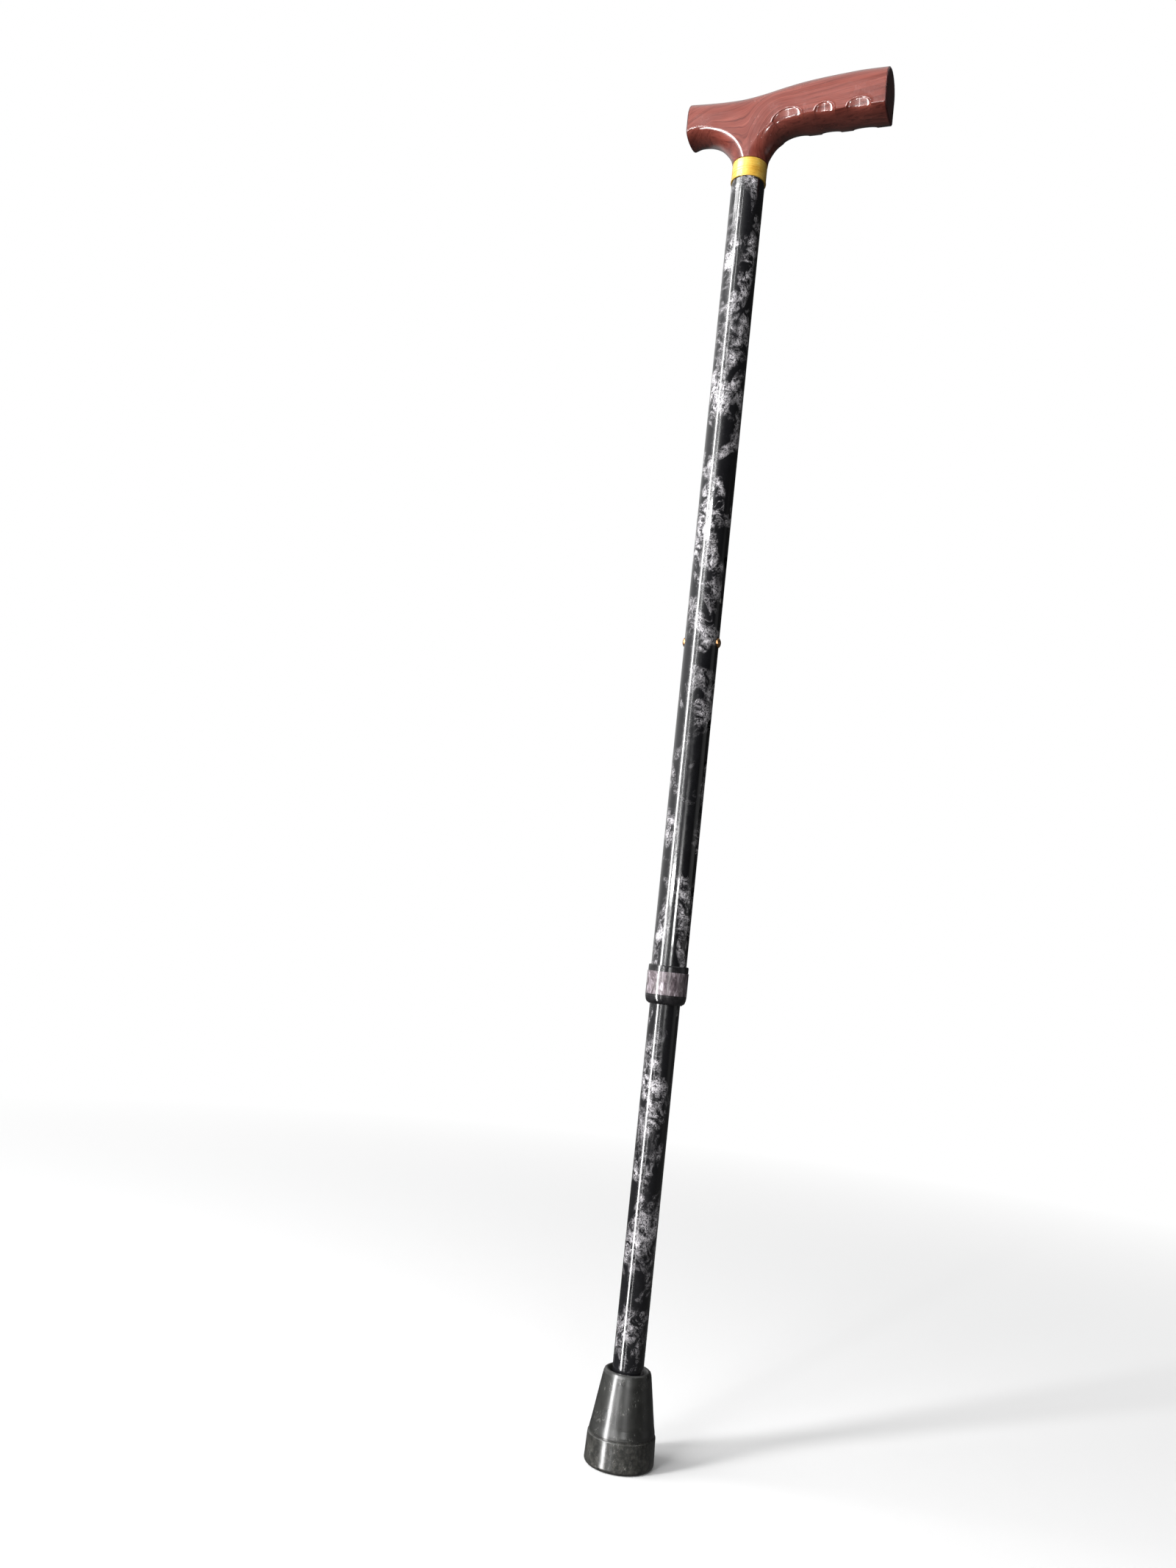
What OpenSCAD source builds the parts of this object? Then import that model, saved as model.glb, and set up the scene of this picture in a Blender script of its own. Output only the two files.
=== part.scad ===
// Height-adjustable walking cane with one tip: a T-shaped palm handle on an outer tube, an inner
// tube held in it by a pair of sprung buttons and a screwed lock nut, and a rubber tip.
// Z is the shaft's axis with the floor at 0, and +X is the way that the handle's long arm points.
// It is drawn with the buttons in the third hole from the top.

/* [Shaft] */
// Outer radius of the outer tube
outer_r = 10.5; // [10.3:0.05:10.6]
// Outer radius of the inner tube
inner_r = 9; // [8.9:0.05:9]
// Wall of both tubes
wall = 1.2; // [1:0.05:1.25]
// Height of the outer tube's lower end, inside the lock nut
outer_foot_z = 266; // [265.8:0.1:266.5]
// Height of the handle's seat, at the outer tube's upper end
seat_z = 790.8; // [788:0.2:800]

/* [Height setting] */
// Spacing of the setting holes
hole_pitch = 25.4; // [25:0.1:25.4]
// Radius of the setting holes
hole_r = 3.3; // [3.2:0.05:3.5]
// Height of the buttons
button_z = 478.5; // [478:0.5:482]
// Setting holes below the buttons
holes_below = 7; // [5:1:7]
// Setting holes above the buttons
holes_above = 2; // [1:1:3]
// Radius of a button
button_r = 3; // [2.6:0.1:3]
// How far a button stands out of the outer tube
button_proud = 1.6; // [1:0.1:2]

/* [Lock nut] */
// Height of the nut's lower face
nut_z = 259.2; // [259:0.1:259.3]
// Height of the nut
nut_h = 22.8; // [22:0.1:24]
// Radius over the nut's marbled band
band_r = 12.25; // [12.2:0.05:13]
// Height of the marbled band
band_h = 13.5; // [12:0.1:13.8]

/* [Handle] */
// Reach of the long arm from the shaft's axis
long_arm = 85; // [84:0.5:92]
// Reach of the short arm from the shaft's axis
short_arm = 41; // [38:0.5:44]
// Height of the top's lowest point above the handle's seat
palm_h = 44.2; // [42:0.1:46]
// How much higher the top is at the long arm
palm_rise = 8.7; // [6:0.1:11]
// Height of the long arm's underside above the handle's seat
finger_h = 21.2; // [20.8:0.1:21.6]
// How far the finger scoops reach up each side
scoop_rise = 5; // [3:0.1:6]
// How far the finger scoops cut into each side at its lower edge
scoop_depth = 1.7; // [0.5:0.1:2]
// Thickness of an end cap
cap_t = 1; // [0.8:0.1:2]

/* [Tip] */
// Radius of the tip's foot
tip_r = 20; // [19:0.1:21]
// Height of the tip
tip_h = 51.5; // [50:0.5:56]

/* [Hidden] */
$fn = 64;
eps = 0.01;

// shaft
bore_r = outer_r - wall;
inner_bore_r = inner_r - wall;
inner_top_z = button_z + 25.5;
lowest_hole_z = button_z - holes_below * hole_pitch;

// glide plug
plug_depth = 10;
plug_head_h = 3;
plug_wall = 2;

// tip
socket_z = 7;
washer_t = 1.2;
washer_hole_r = 3;
tip_step_z = 17;
tip_edge = 2.2;
lip_r = 13.4;

// snap clip
strip_t = 0.5;
strip_w = 7;
strip_x = 5.9;
clip_drop = 40;
flange_r = 3.6;
flange_t = 0.8;
dome_h = 1.2;
button_tip_x = outer_r + button_proud;

// lock nut, from the bottom up: mouth, clamp ring's taper, thread, captive lip
thread_r = outer_r + 0.55;
thread_gap = 0.05;
bush_h = 11;
mouth_h = 1.7;
taper_h = 3.1;
flange_h = outer_foot_z - nut_z - mouth_h - taper_h - 0.1;
taper_r1 = 9.95;
taper_r2 = 10.75;
lip_h = 1.5;
band_z = nut_z + 5.5;
band_t = 0.5;
ring_r = band_r - 0.35;
ring_edge = 0.8;
clamp_h = 2.5;
clamp_slit = 1.2;

// handle and its stem
collar_h = 12.7;
collar_t = 0.55;
stem_r = 8;
stem_down = 42;
stem_up = 32;
pin_r = 1.5;
stem_hollow_r = 4;
neck_r = 11.2;
widen_x = 0.009;
widen_z = 0.031;
palm_round = 12;
edge_round = 2.9;
edge_flat = 0.5;
finger_x = 37.5;
steps_around = 6;
last_angle = 84;
neck_in = neck_r * (1 - cos(last_angle));
plug_gap = 0.25;
cap_tongue = 6;
cap_bevel = 0.9;
cap_crown = 0.1;
cap_crown_in = 5;
long_pocket = [[22, 84], [-8.6, 8.6], [25, 45]];
short_pocket = [[-40, -14], [-7.5, 7.5], [22, 37]];

// A smooth curve through rows of numbers, with n points for each stretch and the last row left out
function row(rows, i) = rows[max(0, min(len(rows) - 1, i))];
function curve(rows, n) = [
    for (i = [0:len(rows) - 2], k = [0:n - 1])
        let(t = k / n, a = row(rows, i - 1), b = rows[i], c = rows[i + 1], d = row(rows, i + 2))
            (2 * b + (c - a) * t + (2 * a - 5 * b + 4 * c - d) * t * t
                + (3 * b - a - 3 * c + d) * t * t * t) / 2
];
function straight(a, b, n) = [for (k = [0:n - 1]) a + (b - a) * k / n];

// The top line: x, and its share of the palm's rise
palm_shape = [
    [-41, 0.17], [-29, 0.06], [-17, 0], [-5, 0.02], [8, 0.22], [20, 0.49], [32, 0.71],
    [44, 0.85], [57, 0.94], [70, 1], [85, 0.96]
];
palm_line = curve(palm_shape, 6);
function palm_z(x) = palm_h + palm_rise * lookup(x, palm_line);

// Each finger scoop is a half ellipse on the side: its middle and half its length, along x
scoops = [[24.5, 9.5], [48.2, 6.3], [69.5, 7.5]];
function scoop(x) = max([for (s = scoops) let(t = (x - s[0]) / s[1]) abs(t) < 1 ? sqrt(1 - t * t) : 0]);

// The handle seen from the side lies between an upper and a lower line. Each row of a line is x,
// height above the seat, and how far inside the line the side's flat part begins, along x and z.
function palm_row(x) = [x, palm_z(x), 0, -palm_round];
function finger_row(x) = [x, finger_h, 0, edge_round];
heel_rows = [
    [-short_arm, 18.2, 0, 5], [-36, 19.7, 0, 5], [-29, 19, 1, 5], [-22, 15.3, 4, 5.5],
    [-16.5, 10, 7, 5], [-13, 5, 9, 2.5], [-neck_r, 0, neck_in, 0]
];
crook_rows = [
    [neck_r, 0, -neck_in, 0], [12, 5, -9.2, 2], [15.5, 12.2, -7.5, 3], [19.5, 16.6, -5, 3.8],
    [24, 19.1, -2.5, 4], [29, 20.5, -0.5, 3.6], [33.5, 21, 0, 3.2],
    [finger_x, finger_h, 0, edge_round]
];
finger_xs = [
    finger_x, 40, for (a = [0:30:180]) scoops[1][0] - scoops[1][1] * cos(a), 58.3,
    for (a = [0:30:180]) scoops[2][0] - scoops[2][1] * cos(a), 81, long_arm
];
under_rows = concat(
    curve(heel_rows, 3),
    straight(heel_rows[6], crook_rows[0], 3),
    curve(crook_rows, 3),
    [for (x = finger_xs) finger_row(x)]
);
over_rows = [for (r = under_rows) palm_row(r[0] + r[2])];

// Half the handle's thickness where its sides are flat: both sides are planes
function side_y(x, z) = neck_r + widen_x * x + widen_z * z;

// How far the section has come in from the outline, and out from the middle plane, at an angle
function come_in(angle) = (1 - cos(angle)) / (1 - cos(last_angle));
function come_out(angle) = sin(angle) / sin(last_angle);

function ring_point(r, angle, cut) =
    let(x = r[0] + r[2] * come_in(angle), z = r[1] + r[3] * come_in(angle))
    [x, come_out(angle) * (side_y(x, z) - cut), z];

// The point on one side where the scoop ends, a little over the side's lower edge if there is none
function scoop_point(r, side) =
    let(x = r[0] + r[2], z = r[1] + r[3] + edge_flat + scoop_rise * scoop(x))
    [x, side * side_y(x, z), z];

// The handle's section from one point of the lower line to the one above it
function section(under, over) = let(cut = scoop_depth * scoop(under[0] + under[2])) [
    for (k = [-steps_around:steps_around]) ring_point(under, k * last_angle / steps_around, cut),
    scoop_point(under, 1),
    for (k = [steps_around:-1:-steps_around]) ring_point(over, k * last_angle / steps_around, 0),
    scoop_point(under, -1)
];

module handle_shell() {
    n = 2 * (2 * steps_around + 1) + 2;
    last = len(under_rows) - 1;
    points = [for (i = [0:last]) each section(under_rows[i], over_rows[i])];
    walls = [
        for (i = [0:last - 1], j = [0:n - 1])
            let(a = i * n + j, b = i * n + (j + 1) % n, c = b + n, d = a + n)
                each [[a, b, c], [a, c, d]]
    ];
    short_end = [for (j = [n - 1:-1:0]) j];
    long_end = [for (j = [0:n - 1]) last * n + j];
    polyhedron(points, concat([short_end], walls, [long_end]), convexity = 6);
}

// The handle's section at one end of an arm, drawn in by a margin
module end_section(under, over, margin) {
    offset(delta = -margin) polygon([for (p = section(under, over)) [p[1], p[2]]]);
}

// A box from its ranges along x, y and z, made smaller all round across x by a gap
module pocket(p, gap = 0) {
    translate([p[0][0], p[1][0] + gap, p[2][0] + gap])
        cube([p[0][1] - p[0][0], p[1][1] - p[1][0] - 2 * gap, p[2][1] - p[2][0] - 2 * gap]);
}

module handle_body() {
    color([0.55, 0.29, 0.25]) translate([0, 0, seat_z]) difference() {
        handle_shell();
        pocket([[long_pocket[0][0], long_arm + 1], long_pocket[1], long_pocket[2]]);
        pocket([[-short_arm - 1, short_pocket[0][1]], short_pocket[1], short_pocket[2]]);
        translate([0, 0, -1]) cylinder(r = stem_r, h = stem_up + 1.5);
    }
}

// A domed plate that closes one arm, with a tongue that fills the mouth of the arm's pocket.
// side is 1 at the long arm and -1 at the short arm.
module end_cap(side, reach, under, over, space) {
    translate([side * reach, 0, seat_z]) {
        hull() {
            cap_layer(side, 0, cap_t / 2, under, over, 0);
            cap_layer(side, cap_t - 0.2, 0.2, under, over, cap_bevel);
            cap_layer(side, cap_t + cap_crown, 0.1, under, over, cap_crown_in);
        }
        pocket([side > 0 ? [-cap_tongue, eps] : [-eps, cap_tongue], space[1], space[2]], plug_gap);
    }
}

module cap_layer(side, from, thick, under, over, margin) {
    x = side > 0 ? from : -from - thick;
    translate([x, 0, 0]) rotate([90, 0, 90]) linear_extrude(thick)
        end_section(under, over, margin);
}

module handle_cap_long() {
    color([0.3, 0.1, 0.09])
        end_cap(1, long_arm, finger_row(long_arm), palm_row(long_arm), long_pocket);
}

module handle_cap_short() {
    color([0.3, 0.1, 0.09])
        end_cap(-1, short_arm, heel_rows[0], palm_row(-short_arm), short_pocket);
}

// The pin's round along y, at the middle of the gold collar
module pin_line(reach) {
    translate([0, 0, seat_z - collar_h / 2]) rotate([90, 0, 0])
        cylinder(r = pin_r, h = 2 * reach, center = true);
}

module handle_stem() {
    color([0.75, 0.76, 0.78]) difference() {
        union() {
            translate([0, 0, seat_z - stem_down]) cylinder(r = bore_r, h = stem_down);
            translate([0, 0, seat_z]) cylinder(r = stem_r, h = stem_up);
        }
        translate([0, 0, seat_z - stem_down - 1]) cylinder(r = stem_hollow_r, h = stem_down);
        pin_line(2 * outer_r);
    }
}

module stem_pin() {
    color([0.6, 0.6, 0.62]) pin_line(outer_r - 0.3);
}

module gold_collar() {
    foot = seat_z - collar_h;
    r = outer_r + collar_t;
    engraved = 0.2;
    color([0.85, 0.65, 0.2]) translate([0, 0, foot]) rotate_extrude() polygon([
        [outer_r, 0], [r + 0.15, 0], [r + 0.2, 0.3], [r + 0.2, 0.9], [r, 1.1],
        [r, 4.1], [r - engraved, 4.25], [r - engraved, 4.45], [r, 4.6],
        [r, 5.9], [r - engraved, 6.05], [r - engraved, 6.25], [r, 6.4],
        [r, collar_h - 0.6], [r - 0.2, collar_h - 0.2], [outer_r, collar_h - 0.2]
    ]);
}

module tube(r, from, to) {
    translate([0, 0, from]) difference() {
        cylinder(r = r, h = to - from);
        translate([0, 0, -1]) cylinder(r = r - wall, h = to - from + 2);
    }
}

// A hole through both walls, along x
module cross_hole(z, r) {
    translate([0, 0, z]) rotate([0, 90, 0]) cylinder(r = r, h = 4 * outer_r, center = true);
}

module outer_tube() {
    color([0.08, 0.08, 0.09]) difference() {
        tube(outer_r, outer_foot_z, seat_z - 0.2);
        for (k = [0:holes_below + holes_above]) cross_hole(lowest_hole_z + k * hole_pitch, hole_r);
        pin_line(2 * outer_r);
    }
}

// The threaded bush on the outer tube's end. Its thread and the nut's are plain.
module thread_bush() {
    color([0.2, 0.2, 0.21]) translate([0, 0, outer_foot_z - flange_h]) rotate_extrude() polygon([
        [inner_r + 0.2, 0], [thread_r - 0.3, 0], [thread_r, 0.3], [thread_r, flange_h + bush_h - 0.3],
        [thread_r - 0.2, flange_h + bush_h], [outer_r, flange_h + bush_h], [outer_r, flange_h],
        [inner_r + 0.2, flange_h]
    ]);
}

// The slit ring that the nut's taper closes on the inner tube
module clamp_ring() {
    rise = (taper_r2 - taper_r1) / taper_h;
    low = nut_z + mouth_h + 0.3;
    r1 = taper_r1 + 0.3 * rise - 0.05;
    color([0.7, 0.7, 0.66]) difference() {
        translate([0, 0, low]) rotate_extrude() polygon([
            [inner_r + 0.05, 0], [r1, 0], [r1 + clamp_h * rise, clamp_h], [inner_r + 0.05, clamp_h]
        ]);
        translate([0, -clamp_slit / 2, low - 1]) cube([2 * outer_r, clamp_slit, clamp_h + 2]);
    }
}

module lock_nut() {
    thread = thread_r + thread_gap;
    taper_top = mouth_h + taper_h;
    shelf = band_z - nut_z;
    rise = band_r - 10.3;
    curved = [for (a = [15:15:90]) [10.3 + rise * sin(a), 0.4 + (shelf - 0.4) * (1 - cos(a))]];
    edge = [for (a = [0:15:90]) [ring_r - ring_edge * (1 - cos(a)), nut_h - ring_edge * (1 - sin(a))]];
    color([0.06, 0.06, 0.07]) translate([0, 0, nut_z]) rotate_extrude() polygon(concat(
        [[inner_r + 0.3, 0], [10, 0], [10.3, 0.4]], curved,
        [[band_r - band_t, shelf], [band_r - band_t, shelf + band_h], [ring_r, shelf + band_h]], edge,
        [[outer_r + 0.3, nut_h], [outer_r + 0.3, nut_h - lip_h], [thread, nut_h - lip_h]],
        [[thread, taper_top], [taper_r2, taper_top], [taper_r1, mouth_h], [inner_r + 0.3, mouth_h]]
    ));
}

module nut_band() {
    in = band_r - band_t;
    color([0.5, 0.46, 0.5]) translate([0, 0, band_z]) rotate_extrude() polygon([
        [in, 0], [band_r - 0.15, 0], [band_r, 0.15], [band_r, band_h - 0.15],
        [band_r - 0.15, band_h], [in, band_h]
    ]);
}

// A strip bent into a U, whose legs press the buttons outward
module snap_spring() {
    bend_z = button_z - clip_drop;
    color([0.72, 0.73, 0.75]) translate([0, strip_w / 2, bend_z]) rotate([90, 0, 0])
        linear_extrude(strip_w) {
            difference() {
                circle(r = strip_x);
                circle(r = strip_x - strip_t);
                translate([-2 * strip_x, 0]) square([4 * strip_x, 2 * strip_x]);
            }
            for (x = [-strip_x, strip_x - strip_t])
                translate([x, -eps]) square([strip_t, clip_drop + 5]);
        }
}

module snap_button() {
    sphere_r = (button_r * button_r + dome_h * dome_h) / (2 * dome_h);
    color([0.72, 0.45, 0.2]) translate([0, 0, button_z]) rotate([0, 90, 0]) {
        translate([0, 0, strip_x + 0.03]) cylinder(r = flange_r, h = flange_t);
        intersection() {
            translate([0, 0, strip_x + 0.03]) cylinder(r = button_r, h = button_tip_x);
            translate([0, 0, button_tip_x - sphere_r]) sphere(r = sphere_r);
        }
    }
}

module snap_button_right() {
    snap_button();
}

module snap_button_left() {
    mirror([1, 0, 0]) snap_button();
}

// The plastic plug in the inner tube's top that keeps it from rattling in the outer tube
module glide_plug() {
    color([0.85, 0.85, 0.82]) translate([0, 0, inner_top_z]) difference() {
        union() {
            translate([0, 0, -plug_depth]) cylinder(r = inner_bore_r, h = plug_depth + eps);
            cylinder(r = bore_r - 0.1, h = plug_head_h);
        }
        translate([0, 0, -plug_depth - 1])
            cylinder(r = inner_bore_r - plug_wall, h = plug_depth + plug_head_h + 2);
    }
}

module inner_tube() {
    color([0.08, 0.08, 0.09]) difference() {
        tube(inner_r, socket_z + washer_t, inner_top_z);
        cross_hole(button_z, hole_r - 0.1);
    }
}

module tip_washer() {
    color([0.7, 0.7, 0.72]) translate([0, 0, socket_z]) difference() {
        cylinder(r = inner_r, h = washer_t);
        translate([0, 0, -1]) cylinder(r = washer_hole_r, h = washer_t + 2);
    }
}

module rubber_tip() {
    edge = [for (a = [-90:15:0]) [tip_r - tip_edge * (1 - cos(a)), tip_edge * (1 + sin(a))]];
    tread_depth = 1.4;
    color([0.2, 0.2, 0.2]) difference() {
        rotate_extrude() polygon(concat(
            [[0, 0]], edge,
            [[tip_r - 0.5, tip_step_z - 0.6], [tip_r - 0.8, tip_step_z - 0.2], [tip_r - 1.4, tip_step_z]],
            [[tip_r - 1.4, tip_step_z + 0.6], [tip_r - 1.1, tip_step_z + 1], [tip_r - 1.3, tip_step_z + 2.5]],
            [[tip_r - 2, tip_step_z + 6], [lip_r + 1, tip_h - 5.5], [lip_r + 0.4, tip_h - 2]],
            [[lip_r - 0.1, tip_h - 0.6], [lip_r - 0.9, tip_h], [lip_r - 1.8, tip_h]],
            [[lip_r - 2.4, tip_h - 0.5], [inner_r + 0.6, tip_h - 3.2], [inner_r, tip_h - 5]],
            [[inner_r, socket_z], [0, socket_z]]
        ));
        for (r = [6:4:14]) translate([0, 0, -1]) difference() {
            cylinder(r = r + 1.6, h = tread_depth + 1);
            translate([0, 0, -1]) cylinder(r = r, h = tread_depth + 3);
        }
    }
}

handle_body();
handle_cap_long();
handle_cap_short();
handle_stem();
stem_pin();
gold_collar();
outer_tube();
thread_bush();
clamp_ring();
lock_nut();
nut_band();
snap_spring();
snap_button_right();
snap_button_left();
glide_plug();
inner_tube();
tip_washer();
rubber_tip();
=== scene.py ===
"""The looks of a height-adjustable walking cane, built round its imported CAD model."""

import math

import bmesh
import bpy
import numpy as np
from mathutils import Matrix, Vector


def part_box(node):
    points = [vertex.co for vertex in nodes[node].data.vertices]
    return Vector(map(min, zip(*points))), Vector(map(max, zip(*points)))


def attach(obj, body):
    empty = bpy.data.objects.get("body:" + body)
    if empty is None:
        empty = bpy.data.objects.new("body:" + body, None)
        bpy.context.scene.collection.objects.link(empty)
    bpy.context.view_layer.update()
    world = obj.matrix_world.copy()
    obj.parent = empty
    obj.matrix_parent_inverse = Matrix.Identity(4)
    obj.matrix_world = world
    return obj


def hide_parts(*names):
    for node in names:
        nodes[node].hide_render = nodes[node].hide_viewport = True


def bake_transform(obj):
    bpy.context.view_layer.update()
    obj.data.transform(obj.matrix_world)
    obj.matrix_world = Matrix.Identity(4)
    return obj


MM = 0.001

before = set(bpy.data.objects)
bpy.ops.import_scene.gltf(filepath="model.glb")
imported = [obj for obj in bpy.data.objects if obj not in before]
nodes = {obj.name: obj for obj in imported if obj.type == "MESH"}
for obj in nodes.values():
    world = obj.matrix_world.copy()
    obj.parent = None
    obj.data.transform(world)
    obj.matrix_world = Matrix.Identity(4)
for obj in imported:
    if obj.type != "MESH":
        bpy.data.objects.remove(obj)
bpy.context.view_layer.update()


# ---------------------------------------------------------------- places, from the CAD model

TIP_TOP_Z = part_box("rubber_tip")[1].z
SEAT_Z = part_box("handle_body")[0].z


# ---------------------------------------------------------------- camera

CAMERA_AT = Vector((0.2454, -0.7553, 0.2912))
CAMERA_RIGHT = Vector((0.9245, 0.3653, 0.1091))
CAMERA_DOWN = Vector((0.0575, 0.1493, -0.9871))
LENS_MM = 30.38
SENSOR_MM = 36
CLIP_M = (0.01, 50)


def make_camera():
    data = bpy.data.cameras.new("camera")
    data.sensor_fit = "AUTO"
    data.sensor_width = SENSOR_MM
    data.lens = LENS_MM
    data.clip_start, data.clip_end = CLIP_M
    camera = bpy.data.objects.new("camera", data)
    bpy.context.scene.collection.objects.link(camera)
    right = CAMERA_RIGHT.normalized()
    up = (-CAMERA_DOWN - right * (-CAMERA_DOWN).dot(right)).normalized()
    back = right.cross(up)
    turn = Matrix((right, up, back)).transposed().to_4x4()
    camera.matrix_world = Matrix.Translation(CAMERA_AT) @ turn
    bpy.context.scene.camera = camera


# ---------------------------------------------------------------- studio

LIGHT_AT_M = 1.7
BACKDROP_R_M = 9
BACKDROP_BANDS = 24
FLOOR_R_M = 8.9
STAGE_SIDES = 128
# the world's grey on each side of the cane, as the camera sees it
LEFT_GREY = 0.55
RIGHT_GREY = 0.02
FRONT_GREY = 0.1
BELOW_GREY = 0.06
ABOVE_GREY = 0.6
SCREEN_RIGHT = (0.951, 0.309, 0.0)
# name, degrees round the cane from its front, height, width and height, power, height of the place it aims at
LIGHTS = (
    ("key", -36, 0.5, (0.24, 2.6), 66, 0.5),
    ("second_line", -10, 0.6, (0.035, 2.4), 5, 0.6),
    ("edge_high", -13, 1.12, (0.6, 0.06), 7.0, 0.82),
    ("edge_low", -12, 0.42, (0.6, 0.06), 7.0, 0.82),
    ("crook", 26, 0.36, (0.3, 0.12), 5, 0.82),
    ("top", -60, 2.3, (1.0, 1.0), 24, 0.4),
)


def area_light(name, turn, height, size, power, aim_z):
    """An area light at an angle round the cane, facing its axis at a height."""
    data = bpy.data.lights.new(name, "AREA")
    data.shape = "RECTANGLE"
    data.size, data.size_y = size
    data.energy = power
    light = bpy.data.objects.new(name, data)
    bpy.context.scene.collection.objects.link(light)
    a = math.radians(turn)
    light.location = Vector((LIGHT_AT_M * math.sin(a), -LIGHT_AT_M * math.cos(a), height))
    aim = Vector((0, 0, aim_z)) - light.location
    light.rotation_euler = aim.to_track_quat("-Z", "Y").to_euler()
    light.visible_camera = False


def make_world():
    """Soft light that comes mostly from the left and above, with the right side and the ground dark."""
    world = bpy.data.worlds.new("studio")
    bpy.context.scene.world = world
    world.use_nodes = True
    tree = world.node_tree
    tree.nodes.clear()
    where = tree.nodes.new("ShaderNodeTexCoord").outputs["Generated"]
    split = tree.nodes.new("ShaderNodeSeparateXYZ")
    tree.links.new(where, split.inputs[0])

    def ramp(value, low, high, *stops):
        scale = tree.nodes.new("ShaderNodeMapRange")
        scale.inputs["From Min"].default_value = low
        scale.inputs["From Max"].default_value = high
        tree.links.new(value, scale.inputs["Value"])
        node = tree.nodes.new("ShaderNodeValToRGB")
        tree.links.new(scale.outputs[0], node.inputs[0])
        elements = node.color_ramp.elements
        while len(elements) < len(stops):
            elements.new(0.5)
        for element, (position, grey) in zip(elements, stops):
            element.position = position
            element.color = (grey, grey, grey, 1)
        return node.outputs[0]

    def dot(direction):
        node = tree.nodes.new("ShaderNodeVectorMath")
        node.operation = "DOT_PRODUCT"
        node.inputs[1].default_value = direction
        tree.links.new(where, node.inputs[0])
        return node.outputs["Value"]

    def mix(share, a, b):
        node = tree.nodes.new("ShaderNodeMix")
        node.data_type = "RGBA"
        tree.links.new(share, node.inputs[0])
        for socket, value in zip((node.inputs[6], node.inputs[7]), (a, b)):
            if isinstance(value, float):
                socket.default_value = (value, value, value, 1)
            else:
                tree.links.new(value, socket)
        return node.outputs[2]

    across = ramp(dot(SCREEN_RIGHT), -1, 1, (0.02, LEFT_GREY), (0.26, LEFT_GREY), (0.5, FRONT_GREY),
                  (0.62, RIGHT_GREY), (0.97, RIGHT_GREY), (1.0, 0.3))
    up = ramp(split.outputs[2], -1, 1, (0.42, 0.0), (0.52, 1.0))
    high = ramp(split.outputs[2], -1, 1, (0.8, 0.0), (0.95, 1.0))
    grey = mix(up, BELOW_GREY, across)
    grey = mix(high, grey, ABOVE_GREY)
    back = tree.nodes.new("ShaderNodeBackground")
    tree.links.new(grey, back.inputs["Color"])
    out = tree.nodes.new("ShaderNodeOutputWorld")
    tree.links.new(back.outputs[0], out.inputs["Surface"])


def stage_material(name, base, inner_m, outer_m):
    """Pale and lit near the cane, and fading to plain white away from it."""
    s = Shader(name, base=base, rough=0.85)
    x, y = s.axes()[:2]
    away = s.math("SQRT", s.math("ADD", s.math("MULTIPLY", x, x), s.math("MULTIPLY", y, y)))
    fade = s.math("DIVIDE", s.math("SUBTRACT", away, inner_m), outer_m - inner_m, clamp=True)
    white = s.add("ShaderNodeEmission")
    mixed = s.add("ShaderNodeMixShader")
    s.link(fade, mixed.inputs[0])
    s.link(s.bsdf.outputs[0], mixed.inputs[1])
    s.link(white.outputs[0], mixed.inputs[2])
    s.link(mixed.outputs[0], s.output.inputs["Surface"])
    return s.material


def show_to_camera_only(stage):
    """Keeps the pale stage out of the cane's reflections and shading, which the studio's light makes."""
    for setting in ("visible_glossy", "visible_diffuse", "visible_transmission", "visible_volume_scatter"):
        setattr(stage, setting, False)


def circle(radius, sides):
    turns = [2 * math.pi * k / sides for k in range(sides)]
    return [(radius * math.cos(a), radius * math.sin(a)) for a in turns]


def make_stage():
    """A round floor, and a dome behind it that has no shadow."""
    sides = STAGE_SIDES
    floor = mesh_object("floor", [(x, y, 0) for x, y in circle(FLOOR_R_M, sides)], [tuple(range(sides))])
    floor.data.materials.append(stage_material("floor", (0.9, 0.9, 0.9), 0.2, 1.3))
    show_to_camera_only(floor)
    points = []
    for j in range(BACKDROP_BANDS + 1):
        a = math.pi / 2 * (2 * j / BACKDROP_BANDS - 1)
        points += [(x, y, BACKDROP_R_M * math.sin(a)) for x, y in circle(BACKDROP_R_M * math.cos(a), sides)]
    faces = [(j * sides + k, j * sides + (k + 1) % sides,
              (j + 1) * sides + (k + 1) % sides, (j + 1) * sides + k)
             for j in range(BACKDROP_BANDS) for k in range(sides)]
    dome = mesh_object("backdrop", points, faces)
    dome.data.materials.append(stage_material("backdrop", (0.9, 0.9, 0.9), -2.0, -1.0))
    dome.visible_shadow = False
    show_to_camera_only(dome)


def make_studio():
    bpy.context.scene.view_settings.view_transform = "Standard"
    make_world()
    make_stage()
    for light in LIGHTS:
        area_light(*light)


# ---------------------------------------------------------------- node materials

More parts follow.
